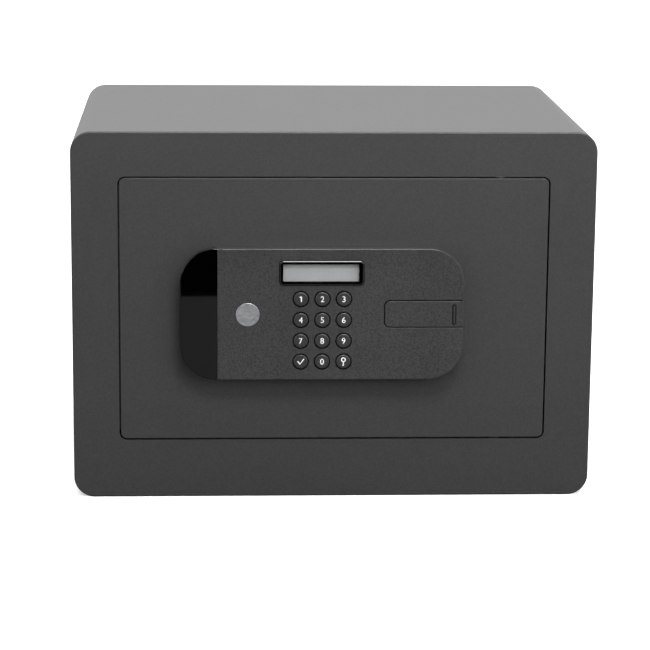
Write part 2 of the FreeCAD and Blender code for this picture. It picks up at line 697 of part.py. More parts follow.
def battery_contacts():
    """Spring plates at both ends of every cell."""
    plates = []
    low = HOLDER[2] + HOLDER_WALL
    high = HOLDER[3] - HOLDER_WALL
    cell_low = CELL_MID_Z - (CELL_L + CELL_NUB) / 2
    cell_high = cell_low + CELL_L + CELL_NUB
    half_w, half_d = CONTACT_HALF
    for x in [cell_x(i) for i in range(CELL_COUNT)]:
        for wall, end in ((low, cell_low), (high, cell_high)):
            side = 1 if end > wall else -1
            spring_z = wall + side * CONTACT_T
            plate_z = sorted((wall, spring_z))
            plate = box(x - half_w, x + half_w, CELL_Y - half_d, CELL_Y + half_d, plate_z[0], plate_z[1])
            spring = Part.makeCone(CONTACT_R[0], CONTACT_R[1], abs(end - spring_z),
                                   Vec(x, CELL_Y, spring_z), Vec(0, 0, side))
            plates.append(join([plate, spring]))
    return group(plates)


# Keypad panel

def panel_blank(y_rear):
    """Panel outline from a depth up to the fascia's front, with its front edge rounded."""
    blank = rounded(PANEL[0], PANEL[1], PANEL[2], PANEL[3], PANEL_R, PANEL_FRONT, y_rear)
    return soften(blank, PANEL_EDGE_R, at_depth(PANEL_FRONT))


def grip_end():
    """Bare left end of the panel: a plate that stands off the door, for the fingers to pull on."""
    y_front = PANEL_FRONT + GLOSS_STEP
    plate = rounded(PANEL[0], PANEL[1], PANEL[2], PANEL[3], PANEL_R, y_front, GRIP_REAR)
    plate = soften(plate, PANEL_EDGE_R, at_depth(y_front))
    return plate.cut(box(SEAM_X, PANEL[1] + 1, y_front - 1, FRONT, PANEL[2] - 1, PANEL[3] + 1))


def panel_base():
    """Tray on the door that carries the fascia, the circuit board and the lock well."""
    below, above = PANEL[2] - 1, PANEL[3] + 1
    tray = rounded(PANEL[0], PANEL[1], PANEL[2], PANEL[3], PANEL_R, FASCIA_REAR, FRONT)
    tray = tray.cut(box(PANEL[0] - 1, GRIP_WALL_X, FASCIA_REAR - 1, FRONT + 1, below, above))
    tray = tray.cut(box(PANEL[0] - 1, SEAM_X, FASCIA_REAR - 1, GRIP_REAR, below, above))
    cavity = rounded(PANEL[0] + PANEL_WALL, PANEL[1] - PANEL_WALL, PANEL[2] + PANEL_WALL,
                     PANEL[3] - PANEL_WALL, PANEL_R - PANEL_WALL, FASCIA_REAR - 5, FRONT - PANEL_FLOOR)
    cavity = cavity.cut(box(PANEL[0] - 1, GRIP_WALL_X + GRIP_WALL_T, FASCIA_REAR - 6, FRONT, below, above))
    bosses = [rod_y(x, z, BOSS_R, FASCIA_REAR + BOSS_GAP, FRONT - 1.0) for x, z in PANEL_SCREWS]
    tray = join([tray.cut(cavity)] + bosses)
    notch = box(PANEL[1] - PANEL_WALL - 1, PANEL[1] + 1, FASCIA_REAR - 1, WELL_TOP,
                SLOT[1] - SLIDE_FLANGE - SLIDE_FIT, SLOT[2] + SLIDE_FLANGE + SLIDE_FIT)
    cuts = [notch, rod_y(LOCK_X, LOCK_Z, CYL_R, FRONT - 3, FRONT + 1),
            rod_y(CABLE_ROUTE[0][0], CABLE_ROUTE[0][2], CABLE_HOLE_R, FRONT - 3, FRONT + 1)]
    cuts += [rod_y(x, z, SCREW_R, FRONT - PANEL_SCREW_L - PAST, FRONT + PAST) for x, z in PANEL_SCREWS]
    return cut_all(tray, cuts)


def lock_well():
    """Walls round the override lock, between the tray's floor and the sliding cover."""
    x0, x1, z0, z1 = WELL
    block = box(x0, x1, WELL_TOP, WELL_FLOOR, z0, z1)
    return block.cut(box(x0 + WELL_WALL, x1 - WELL_WALL, WELL_TOP - 1, WELL_FLOOR + 1,
                         z0 + WELL_WALL, z1 - WELL_WALL))


def panel_screws():
    return group([screw(x, z, DOOR_BACK, FRONT - PANEL_SCREW_L) for x, z in PANEL_SCREWS])


def cover_slot(gap, y0, y1):
    """Slot of the sliding cover, open to the right; gap shrinks it all round."""
    x0 = SLOT[0] + gap
    return rounded(x0, PANEL[1] + 20, SLOT[1] + gap, SLOT[2] - gap, SLOT_R - gap, y0, y1)


def slot_edge_cutter():
    """Wedge all round the slot that breaks its front edge."""
    wide = 2 * SLOT_EDGE
    rear = PANEL_FRONT + SLOT_EDGE
    wedge = cover_slot(-wide, PANEL_FRONT - wide, rear)
    return wedge.makeChamfer(wide, [e for e in wedge.Edges if at_depth(rear)(e)])


def fascia_blank():
    blank = panel_blank(FASCIA_REAR)
    return blank.cut(box(PANEL[0] - 1, SEAM_X, PANEL_FRONT - 1, FRONT, PANEL[2] - 1, PANEL[3] + 1))


def fascia():
    cuts = [cover_slot(0, PANEL_FRONT - 1, FASCIA_REAR + 1), slot_edge_cutter()]
    cuts += [rod_y(x, z, KEY_HOLE_R, PANEL_FRONT - 1, FASCIA_REAR + 1) for x in KEY_X for z in KEY_Z]
    cuts.append(rod_y(BADGE_X, BADGE_Z, BADGE_R, PANEL_FRONT - 1, PANEL_FRONT + BADGE_SEAT))
    cuts.append(rounded(BEZEL[0] - BEZEL_FIT, BEZEL[1] + BEZEL_FIT, BEZEL[2] - BEZEL_FIT,
                        BEZEL[3] + BEZEL_FIT, BEZEL_R + BEZEL_FIT, PANEL_FRONT - 1, PANEL_FRONT + BEZEL_SEAT))
    land = WINDOW_LAND + WINDOW_FIT
    cuts.append(rounded(WINDOW[0] - land, WINDOW[1] + land, WINDOW[2] - land, WINDOW[3] + land, 1.0,
                        PANEL_FRONT - 1, FASCIA_REAR + 1))
    return cut_all(fascia_blank(), cuts)


def override_cover():
    outline = soften(cover_slot(SLOT_GAP, PANEL_FRONT, FASCIA_REAR + 1), SLOT_EDGE, at_depth(PANEL_FRONT))
    front = fascia_blank().common(outline)
    lips_in, bridge_in, edge_in = SLIDE_INSET
    lips_y = FASCIA_REAR + SLIDE_GAP
    lips = box(SLOT[0] + lips_in, PANEL[1] - edge_in, lips_y, lips_y + SLIDE_FLANGE_T,
               SLOT[1] - SLIDE_FLANGE, SLOT[2] + SLIDE_FLANGE)
    bridge = box(SLOT[0] + bridge_in, PANEL[1] - edge_in, FASCIA_REAR - BRIDGE_HALF,
                 FASCIA_REAR + BRIDGE_HALF, SLOT[1] + SLOT_GAP, SLOT[2] - SLOT_GAP)
    moat_r = RIB_R + RIB_MOAT
    moat = rounded(RIB_X - moat_r, RIB_X + moat_r, RIB_Z[0] - RIB_MOAT, RIB_Z[1] + RIB_MOAT, moat_r * 0.99,
                   PANEL_FRONT - 1, PANEL_FRONT + RIB_MOAT_DEPTH)
    rib_front = PANEL_FRONT - RIB_PROUD
    rib = rounded(RIB_X - RIB_R, RIB_X + RIB_R, RIB_Z[0], RIB_Z[1], RIB_R * 0.99,
                  rib_front, PANEL_FRONT + RIB_MOAT_DEPTH + 0.3)
    rib = soften(rib, RIB_R * 0.7, at_depth(rib_front))
    return join([front.cut(moat), lips, bridge, rib])


def key(x, z):
    """Push key: a cap with a shallow dished face, and a flange behind the fascia."""
    front = PANEL_FRONT - KEY_PROUD
    flange_y = FASCIA_REAR + FLANGE_GAP
    cap = rod_y(x, z, KEY_CAP_R, front, flange_y)
    cap = soften(cap, KEY_EDGE_R, at_depth(front))
    dish = rod_y(x, z, KEY_DISH_R, front - 1, front + KEY_DISH)
    flange = rod_y(x, z, KEY_FLANGE_R, flange_y, flange_y + KEY_FLANGE_T)
    return join([cap, flange]).cut(dish)


def key_mat():
    """Rubber sheet on the circuit board with a dome under each key."""
    front = BOARD_Y0 - MAT_SHEET
    sheet = box(KEY_X[0] - MAT_MARGIN, KEY_X[2] + MAT_MARGIN, front, BOARD_Y0,
                KEY_Z[3] - MAT_MARGIN, KEY_Z[0] + MAT_MARGIN)
    dome_top = FASCIA_REAR + FLANGE_GAP + KEY_FLANGE_T + KEY_TRAVEL + DOME_GAP
    domes = [Part.makeCone(DOME_R[0], DOME_R[1], front - dome_top, Vec(x, dome_top, z), Vec(0, 1, 0))
             for x in KEY_X for z in KEY_Z]
    return join([sheet] + domes)


def circuit_board():
    board = rounded(BOARD[0], BOARD[1], BOARD[2], BOARD[3], BOARD_R, BOARD_Y0, BOARD_Y1)
    cuts = [rod_y(x, z, BOARD_HOLE_R, BOARD_Y0 - PAST, BOARD_Y1 + PAST) for x, z in PANEL_SCREWS]
    chips = [box(x0, x1, BOARD_Y0 - height, BOARD_Y0 + 0.1, z0, z1) for x0, x1, z0, z1, height in CHIPS]
    return join([cut_all(board, cuts)] + chips)


def display_module():
    x0, x1, z0, z1 = WINDOW
    over = SCREEN_OVER
    screen = box(x0 - over, x1 + over, PANEL_FRONT + SCREEN_DEPTH, FASCIA_REAR + LET_IN, z0 - over, z1 + over)
    over_x, over_z = MODULE_OVER
    body = box(x0 - over_x, x1 + over_x, FASCIA_REAR + SLIDE_GAP, BOARD_Y0, z0 - over_z, z1 + over_z)
    return join([screen, body])


def display_window():
    x0, x1, z0, z1 = WINDOW
    land = WINDOW_LAND
    return rounded(x0 - land, x1 + land, z0 - land, z1 + land, WINDOW_R,
                   PANEL_FRONT + BEZEL_SEAT, PANEL_FRONT + WINDOW_REAR)


def display_bezel():
    front = PANEL_FRONT - BEZEL_PROUD
    x0, x1, z0, z1 = WINDOW
    ring = rounded(BEZEL[0], BEZEL[1], BEZEL[2], BEZEL[3], BEZEL_R, front, PANEL_FRONT + BEZEL_SEAT)
    ring = soften(ring, BEZEL_EDGE_R, at_depth(front))
    return ring.cut(rounded(x0, x1, z0, z1, OPENING_R, front - PAST, PANEL_FRONT + BEZEL_SEAT + PAST))


def badge_disc():
    front = PANEL_FRONT - BADGE_PROUD
    disc = rod_y(BADGE_X, BADGE_Z, BADGE_R, front, PANEL_FRONT + BADGE_SEAT)
    return soften(disc, BADGE_PROUD * 0.8, at_depth(front))


# Override lock

def override_cylinder():
    face = WELL_FLOOR - CYL_FLANGE_T
    flange = rod_y(LOCK_X, LOCK_Z, CYL_FLANGE_R, face, WELL_FLOOR)
    barrel = rod_y(LOCK_X, LOCK_Z, CYL_R, face, CYL_REAR)
    bore = rod_y(LOCK_X, LOCK_Z, PLUG_R + PLUG_FIT, face - 1, CYL_REAR + 1)
    return join([flange, barrel]).cut(bore)


def cylinder_nut():
    points = [Vec(LOCK_X + NUT_R * math.cos(a), DOOR_BACK, LOCK_Z + NUT_R * math.sin(a))
              for a in (i * math.pi / 3 for i in range(7))]
    nut = Part.Face(Part.makePolygon(points)).extrude(Vec(0, NUT_T, 0))
    return nut.cut(rod_y(LOCK_X, LOCK_Z, CYL_R, DOOR_BACK - 1, DOOR_BACK + NUT_T + 1))


def override_plug():
    face = WELL_FLOOR - CYL_FLANGE_T
    plug = rod_y(LOCK_X, LOCK_Z, PLUG_R, face, CYL_REAR + PLUG_PAST)
    half_w, half_h, depth = KEYWAY
    return plug.cut(box(LOCK_X - half_w, LOCK_X + half_w, face - 1, face + depth,
                        LOCK_Z - half_h, LOCK_Z + half_h))


def override_cam():
    """Arm on the rear of the plug, hanging down with the lock at rest."""
    y0 = CYL_REAR + PLUG_PAST
    hub = rod_y(LOCK_X, LOCK_Z, CAM_HUB_R, y0, y0 + CAM_T)
    arm = box(LOCK_X - CAM_HALF_W, LOCK_X + CAM_HALF_W, y0, y0 + CAM_T, LOCK_Z - CAM_L, LOCK_Z)
    arm = soften(arm, CAM_END_R, lambda e: along(e, Vec(0, 1, 0)) and e.BoundBox.ZMax < LOCK_Z - 1)
    return join([hub, arm])


def motor_cable():
    """Cable from the circuit board through the door plate to the motor, with round bends."""
    points = [Vec(*p) for p in CABLE_ROUTE]
    radius = 0.45 * min((b - a).Length for a, b in zip(points, points[1:]))
    edges = []
    start = points[0]
    for before, corner, after in zip(points, points[1:], points[2:]):
        back = (before - corner).normalize()
        on = (after - corner).normalize()
        entry = corner + back * radius
        leave = corner + on * radius
        middle = corner + (back + on) * radius * (1 - math.sqrt(0.5))
        edges.append(Part.LineSegment(start, entry).toShape())
        edges.append(Part.Arc(entry, middle, leave).toShape())
        start = leave
    edges.append(Part.LineSegment(start, points[-1]).toShape())
    section = Part.Wire(Part.makeCircle(CABLE_R, points[0], Vec(0, 1, 0)))
    return Part.Wire(edges).makePipeShell([section], True, True)


def main():
    os.makedirs("parts", exist_ok=True)
    save("body_shell", body_shell())
    save("front_frame", front_frame())
    save("back_plate", back_plate())
    save("floor_mat", floor_mat())
    save("door_stop_top", stop_level(OPEN_Z1, 1))
    save("door_stop_bottom", stop_level(OPEN_Z0, -1))
    save("door_stop_left", stop_left())
    save("bolt_keeper", bolt_keeper())
    save("upper_hinge_block", upper_hinge_block())
    save("lower_hinge_block", lower_hinge_block())
    save("hinge_bushes", hinge_bushes())

    save("door_plate", door_plate())
    save("door_hinge_blocks", door_hinge_blocks())
    save("hinge_pins", hinge_pins())
    save("bolt_guide", bolt_guide())
    save("motor_bracket", motor_bracket())
    save("gear_motor", gear_motor())
    save("motor_cable", motor_cable())
    save("cover_posts", cover_posts())
    save("inner_cover", inner_cover())
    save("inner_cover_screws", inner_cover_screws())
    save("battery_holder", battery_holder())
    save("battery_contacts", battery_contacts())
    save("battery_hinge_pin", lid_pin())
    for i in range(CELL_COUNT):
        save("battery_%d" % (i + 1), battery(i))

    save("panel_base", panel_base())
    save("grip_end", grip_end())
    save("lock_well", lock_well())
    save("panel_screws", panel_screws())
    save("fascia", fascia())
    save("circuit_board", circuit_board())
    save("key_mat", key_mat())
    save("display_module", display_module())
    save("display_window", display_window())
    save("display_bezel", display_bezel())
    save("badge_disc", badge_disc())
    save("override_cylinder", override_cylinder())
    save("cylinder_nut", cylinder_nut())

    save("bolt_carriage", bolt_carriage())
    save("locking_bolts", locking_bolts())
    save("drive_pinion", drive_pinion())
    save("override_plug", override_plug())
    save("override_cam", override_cam())
    save("override_cover", override_cover())
    save("battery_cover", battery_cover())
    for row, z in zip(KEY_NAMES, KEY_Z):
        for name, x in zip(row, KEY_X):
            save(name, key(x, z))


main()
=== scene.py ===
import json
import math
import bmesh
import bpy
from mathutils import Matrix, Vector, noise


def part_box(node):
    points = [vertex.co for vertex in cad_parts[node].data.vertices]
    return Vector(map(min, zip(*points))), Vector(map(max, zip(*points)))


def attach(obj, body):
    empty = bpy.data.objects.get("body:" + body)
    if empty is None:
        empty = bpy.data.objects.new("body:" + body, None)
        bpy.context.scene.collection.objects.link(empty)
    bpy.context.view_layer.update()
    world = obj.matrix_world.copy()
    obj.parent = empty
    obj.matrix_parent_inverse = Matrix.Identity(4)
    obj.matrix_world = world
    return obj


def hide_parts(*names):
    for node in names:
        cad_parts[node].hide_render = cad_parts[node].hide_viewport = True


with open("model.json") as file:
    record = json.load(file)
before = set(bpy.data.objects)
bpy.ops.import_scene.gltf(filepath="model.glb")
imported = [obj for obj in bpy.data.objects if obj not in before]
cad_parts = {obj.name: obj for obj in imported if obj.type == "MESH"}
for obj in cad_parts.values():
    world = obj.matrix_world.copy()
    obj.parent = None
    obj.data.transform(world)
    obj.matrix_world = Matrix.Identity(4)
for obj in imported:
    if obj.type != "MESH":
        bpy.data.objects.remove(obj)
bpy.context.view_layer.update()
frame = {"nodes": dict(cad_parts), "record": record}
NODES = frame["nodes"]
MM = 0.001

# Camera: where it stands, how it is turned (degrees) and its lens
CAMERA_AT = (-0.0840, -1.7600, 0.4825)
CAMERA_YAW = -2.74
CAMERA_PITCH = 12.51
CAMERA_ROLL = 0.49
CAMERA_LENS = 138.28
SENSOR_WIDTH = 36.0
CLIP_START = 0.05

# Floor: a pale table, its front edge well in front of the safe
FLOOR_FRONT = -0.815
FLOOR_BACK = 4.0
FLOOR_SIDE = 4.0
FLOOR_GLOW = 0.35           # keeps the shadows on the floor faint
FLOOR_DULL = (0.125, 0.13125)   # its grey for what it mirrors and throws back, cloud to cloud
FLOOR_PALE = (0.86, 0.90)   # its grey to the camera

# Surroundings: brightness rises from the front, behind the camera, to the back
WORLD_DARK_Y = -0.75
WORLD_LIT_Y = 0.1
WORLD_DARK = 0.0
WORLD_LIT = 1.75

# Lights: name, place, size (m) and power (W); each faces the middle of the safe
LIGHT_TARGET = (0, 0, 0.12)
LIGHTS = [
    ("overhead", (0.2, 0.3, 2.4), (2.6, 2.0), 50),
    ("key", (0.60, -2.2, 1.15), (1.5, 1.0), 25),
    ("fill", (-1.3, -1.9, 0.55), (1.2, 0.8), 8),
    ("top_box", (0.10, -0.90, 1.00), (0.50, 0.30), 11),
    ("side_box", (0.95, -0.95, 0.35), (0.16, 0.60), 3),
]

# Textures: the part of a noise's range that a ramp covers
SPREAD = (0.3, 0.7)

# Painted shade in crevices: how open a point is where the painted shade is at its darkest, and
# where it is at full colour
PAINTED_SHADE_OPEN = (0.42, 0.95)
PAINTED_SHADE_SAMPLES = 8
PAINTED_SHADE_REACH = 2.5 * MM

# Display: its character cells (m)
CELL_WIDTH = 0.0031
CELL_HEIGHT = 0.0052
CELL_GAP = 0.00025

# Battery film: where the pale band and the steel cap start, as parts of a cell's length
BAND_START = (0.785, 0.79)
CAP_START = (0.976, 0.98)

# Felt mat on the floor of the safe
MAT_CORNER_R = 6 * MM
MAT_EDGE_R = 0.6 * MM
MAT_HOLE_R = 9 * MM
MAT_HOLES = [(x, y) for x in (-0.110, 0.110) for y in (-0.060, 0.060)]
MAT_CELL = 6 * MM
MAT_WAVE = 0.12 * MM        # how uneven the felt lies
MAT_WAVE_L = 35 * MM

# Ribs moulded on the inner cover
SCREW_HEAD = 2.2 * MM
RIB_COUNT = 7
RIB_SIDE = 18 * MM          # from the cover's edge
RIB_LID = 14 * MM           # from the battery lid
RIB_END = 28 * MM           # from the cover's top and bottom
RIB_WIDTH = 3 * MM
RIB_HEIGHT = 0.9 * MM

# Key legends
LEGEND_T = 0.04 * MM
LEGEND_H = 3.9 * MM
CAPITAL = 0.70              # a capital's height as part of the type size
STROKE = 0.165              # stroke widths, as parts of a legend's height
KEY_STROKE = 0.18
KEY_RING_R = 0.33
KEY_RING_Z = 0.34
KEY_DISH = 0.15 * MM
LEGENDS = {"key_%d" % n: str(n) for n in (0, 2, 3, 4, 5, 6, 7, 8, 9)}


# ---------------------------------------------------------------- materials

class Shader:
    """A node material built up from procedural textures in the row frame's own metres."""

    def __init__(self, name, roughness=0.5, metallic=0.0, specular=0.5):
        self.mat = bpy.data.materials.new(name)
        self.mat.use_nodes = True
        self.tree = self.mat.node_tree
        self.bsdf = self.tree.nodes["Principled BSDF"]
        self.bsdf.inputs["Roughness"].default_value = roughness
        self.bsdf.inputs["Metallic"].default_value = metallic
        self.bsdf.inputs["Specular IOR Level"].default_value = specular
        self.coords = self.tree.nodes.new("ShaderNodeTexCoord")

    def link(self, out, into):
        self.tree.links.new(out, into)
        return out

    def noise(self, size, detail=2.0, rough=0.5, stretch=(1, 1, 1)):
        """Noise whose blobs are about that size in metres."""
        mapping = self.tree.nodes.new("ShaderNodeMapping")
        mapping.inputs["Scale"].default_value = stretch
        self.link(self.coords.outputs["Object"], mapping.inputs["Vector"])
        node = self.tree.nodes.new("ShaderNodeTexNoise")
        node.inputs["Scale"].default_value = 1.0 / size
        node.inputs["Detail"].default_value = detail
        node.inputs["Roughness"].default_value = rough
        self.link(mapping.outputs["Vector"], node.inputs["Vector"])
        return node.outputs["Fac"]

    def voronoi(self, size, feature="F1"):
        node = self.tree.nodes.new("ShaderNodeTexVoronoi")
        node.feature = feature
        node.inputs["Scale"].default_value = 1.0 / size
        self.link(self.coords.outputs["Object"], node.inputs["Vector"])
        return node.outputs["Distance"]

    def ramp(self, value, low, high, dark, light):
        """Grey value to a colour between two colours, over low to high."""
        node = self.tree.nodes.new("ShaderNodeValToRGB")
        node.color_ramp.elements[0].position = low
        node.color_ramp.elements[1].position = high
        node.color_ramp.elements[0].color = (*dark, 1)
        node.color_ramp.elements[1].color = (*light, 1)
        self.link(value, node.inputs["Fac"])
        return node.outputs["Color"]

    def span(self, value, low, high, out_low, out_high):
        node = self.tree.nodes.new("ShaderNodeMapRange")
        node.inputs["From Min"].default_value = low
        node.inputs["From Max"].default_value = high
        node.inputs["To Min"].default_value = out_low
        node.inputs["To Max"].default_value = out_high
        self.link(value, node.inputs["Value"])
        return node.outputs["Result"]

    def mix(self, factor, a, b, blend="MIX"):
        node = self.tree.nodes.new("ShaderNodeMix")
        node.data_type = "RGBA"
        node.blend_type = blend
        if isinstance(factor, float):
            node.inputs["Factor"].default_value = factor
        else:
            self.link(factor, node.inputs["Factor"])
        self.link(a, node.inputs["A"])
        self.link(b, node.inputs["B"])
        return node.outputs["Result"]

    def grey(self, value):
        node = self.tree.nodes.new("ShaderNodeRGB")
        node.outputs["Color"].default_value = (value, value, value, 1)
        return node.outputs["Color"]

    def colour(self, source):
        self.link(source, self.bsdf.inputs["Base Color"])

    def dim_crevices(self, source, reach, floor=0.05):
        """The colour with painted shade: darker where another surface stands within that reach in
        metres.
        """
        node = self.tree.nodes.new("ShaderNodeAmbientOcclusion")
        node.samples = PAINTED_SHADE_SAMPLES
        node.inputs["Distance"].default_value = reach
        # painted shade: ambient occlusion darkens the colour, down to that floor, in grooves and
        # holes
        shade = self.ramp(node.outputs["AO"], *PAINTED_SHADE_OPEN, (floor,) * 3, (1, 1, 1))
        return self.mix(1.0, source, shade, "MULTIPLY")

    def roughness(self, source):
        self.link(source, self.bsdf.inputs["Roughness"])

    def bump(self, height, depth, strength=1.0):
        """Bump of that depth in metres, added to any bump already there."""
        node = self.tree.nodes.new("ShaderNodeBump")
        node.inputs["Strength"].default_value = strength
        node.inputs["Distance"].default_value = depth
        self.link(height, node.inputs["Height"])
        old = self.bsdf.inputs["Normal"]
        if old.is_linked:
            self.link(old.links[0].from_socket, node.inputs["Normal"])
        self.link(node.outputs["Normal"], self.bsdf.inputs["Normal"])


def tint(grey, factor):
    return tuple(g * factor for g in grey)


def powder_coat(name, grey, roughness=0.46, specular=0.5):
    """Fine-texture powder coat: small orange peel, faint cloudiness."""
    s = Shader(name, roughness, specular=specular)
    cloud = s.noise(0.05, 3.0)
    grain = s.noise(0.0011, 2.0, 0.6)
    base = s.ramp(cloud, *SPREAD, tint(grey, 0.97), tint(grey, 1.03))
    speck = s.ramp(grain, 0.35, 0.65, (0.84, 0.84, 0.84), (1.16, 1.16, 1.16))
    s.colour(s.mix(1.0, base, speck, "MULTIPLY"))
    s.roughness(s.span(grain, *SPREAD, roughness - 0.03, roughness + 0.03))
    s.bump(s.noise(0.0016, 2.0), 0.00002, 0.5)
    s.bump(grain, 0.00003, 0.6)
    return s.mat


def grained_plastic(name, grey, roughness=0.5, grain_size=0.0011, contrast=0.16, painted_shade_reach=0.0):
    """Moulded plastic with a spark-eroded grain, with painted shade in crevices within that reach.
    """
    s = Shader(name, roughness)
    grain = s.noise(grain_size, 2.5, 0.6)
    fine = s.noise(grain_size * 0.45, 1.0)
    cloud = s.noise(0.045, 2.0)
    base = s.ramp(cloud, *SPREAD, tint(grey, 0.90), tint(grey, 1.10))
    speck = s.ramp(grain, 0.34, 0.66, (1 - contrast,) * 3, (1 + contrast,) * 3)
    both = s.mix(1.0, base, speck, "MULTIPLY")
    # painted shade in crevices, when a reach is given
    s.colour(s.dim_crevices(both, painted_shade_reach) if painted_shade_reach else both)
    s.roughness(s.span(grain, *SPREAD, roughness + 0.05, roughness - 0.05))
    s.bump(grain, 0.00009, 0.55)
    s.bump(fine, 0.00003, 0.5)
    return s.mat


def gloss_plastic(name, grey, specular=0.5, roughness=0.02):
    """Polished plastic with faint haze and hair scratches."""
    s = Shader(name, roughness, specular=specular)
    haze = s.noise(0.018, 3.0)
    scratch = s.noise(0.004, 4.0, 0.7, (1.0, 1.0, 14.0))
    s.colour(s.ramp(haze, *SPREAD, tint(grey, 0.85), tint(grey, 1.15)))
    s.roughness(s.span(scratch, 0.45, 0.75, roughness, roughness + 0.04))
    return s.mat


def metal(name, colour, roughness=0.3, brush=(1, 1, 1), grain=0.0016):
    """Plated or brushed metal, the brush stretched across one axis."""
    s = Shader(name, roughness, metallic=1.0)
    lines = s.noise(grain, 3.0, 0.6, brush)
    stain = s.noise(0.014, 3.0)
    base = s.ramp(stain, *SPREAD, tint(colour, 0.82), tint(colour, 1.06))
    streak = s.ramp(lines, *SPREAD, (0.90, 0.90, 0.90), (1.06, 1.06, 1.06))
    s.colour(s.mix(1.0, base, streak, "MULTIPLY"))
    s.roughness(s.span(lines, *SPREAD, roughness - 0.06, roughness + 0.08))
    s.bump(lines, 0.00002, 0.4)
    return s.mat


def rubber(name, grey):
    s = Shader(name, 0.7, specular=0.35)
    s.colour(s.ramp(s.noise(0.006, 3.0), *SPREAD, tint(grey, 0.85), tint(grey, 1.15)))
    s.roughness(s.span(s.noise(0.002, 2.0), *SPREAD, 0.62, 0.78))
    s.bump(s.noise(0.0008, 2.0), 0.00004, 0.5)
    return s.mat


def felt(name, grey):
    """Needle felt: matted fibres lying every way."""
    s = Shader(name, 0.95, specular=0.1)
    along = s.noise(0.0016, 5.0, 0.75, (1.0, 4.0, 1.0))
    across = s.noise(0.0016, 5.0, 0.75, (4.0, 1.0, 1.0))
    along = s.ramp(along, *SPREAD, (0, 0, 0), (1, 1, 1))
    across = s.ramp(across, *SPREAD, (0, 0, 0), (1, 1, 1))
    both = s.mix(0.5, along, across)
    s.colour(s.ramp(both, 0.25, 0.75, tint(grey, 0.6), tint(grey, 1.5)))
    s.bump(both, 0.0005, 0.8)
    s.bsdf.inputs["Sheen Weight"].default_value = 0.3
    return s.mat


def display_grey(name):
    """Reflective display: a smooth grey with the faint cells of its rows, and painted shade along
    its sunk edges.
    """
    s = Shader(name, 0.3, specular=0.3)
    cells = s.tree.nodes.new("ShaderNodeTexBrick")
    cells.inputs["Scale"].default_value = 1.0
    cells.inputs["Brick Width"].default_value = CELL_WIDTH
    cells.inputs["Row Height"].default_value = CELL_HEIGHT
    cells.inputs["Mortar Size"].default_value = CELL_GAP
    cells.offset = 0.0
    for colour in ("Color1", "Color2"):
        cells.inputs[colour].default_value = (0.570, 0.578, 0.578, 1)
    cells.inputs["Mortar"].default_value = (0.588, 0.596, 0.596, 1)
    turn = s.tree.nodes.new("ShaderNodeMapping")
    turn.inputs["Rotation"].default_value = (math.radians(-90), 0, 0)
    s.link(s.coords.outputs["Object"], turn.inputs["Vector"])
    s.link(turn.outputs["Vector"], cells.inputs["Vector"])
    tone = s.ramp(s.noise(0.02, 1.0), *SPREAD, (0.97, 0.97, 0.97), (1.03, 1.03, 1.03))
    face = s.mix(1.0, cells.outputs["Color"], tone, "MULTIPLY")
    # painted shadow along the display's edges, where the bezel stands over it
    s.colour(s.dim_crevices(face, PAINTED_SHADE_REACH, 0.45))
    return s.mat


def clear_window(name):
    s = Shader(name, 0.03, specular=0.5)
    s.colour(s.ramp(s.noise(0.02, 2.0), *SPREAD, (0.55, 0.57, 0.57), (0.62, 0.64, 0.64)))
    s.bsdf.inputs["Alpha"].default_value = 0.10
    return s.mat


def battery_film(name, plus_up):
    """Shrink film of an AA cell standing on end: dark, with a pale band at its plus end."""
    s = Shader(name, 0.22, specular=0.5)
    low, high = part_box("battery_1")
    split = s.tree.nodes.new("ShaderNodeSeparateXYZ")
    s.link(s.coords.outputs["Object"], split.inputs["Vector"])
    ends = (low.z, high.z) if plus_up else (high.z, low.z)
    along = s.span(split.outputs["Z"], *ends, 0.0, 1.0)
    film = s.ramp(s.noise(0.01, 2.0), *SPREAD, (0.014, 0.015, 0.018), (0.022, 0.023, 0.027))
    band = s.ramp(s.noise(0.004, 3.0), *SPREAD, (0.33, 0.34, 0.35), (0.40, 0.41, 0.42))
    steel = s.ramp(s.noise(0.002, 2.0), *SPREAD, (0.52, 0.52, 0.51), (0.62, 0.62, 0.61))
    shoulder = s.ramp(along, *BAND_START, (0, 0, 0), (1, 1, 1))
    cap = s.ramp(along, *CAP_START, (0, 0, 0), (1, 1, 1))
    s.colour(s.mix(cap, s.mix(shoulder, film, band), steel))
    s.link(s.span(along, *CAP_START, 0.0, 1.0), s.bsdf.inputs["Metallic"])
    s.roughness(s.span(s.noise(0.006, 2.0), *SPREAD, 0.18, 0.28))
    return s.mat


def board_green(name):
    s = Shader(name, 0.35, specular=0.5)
    tracks = s.voronoi(0.004, "DISTANCE_TO_EDGE")
    s.colour(s.ramp(tracks, 0.02, 0.06, (0.010, 0.060, 0.022), (0.022, 0.130, 0.050)))
    s.bump(tracks, 0.00003, 0.5)
    return s.mat


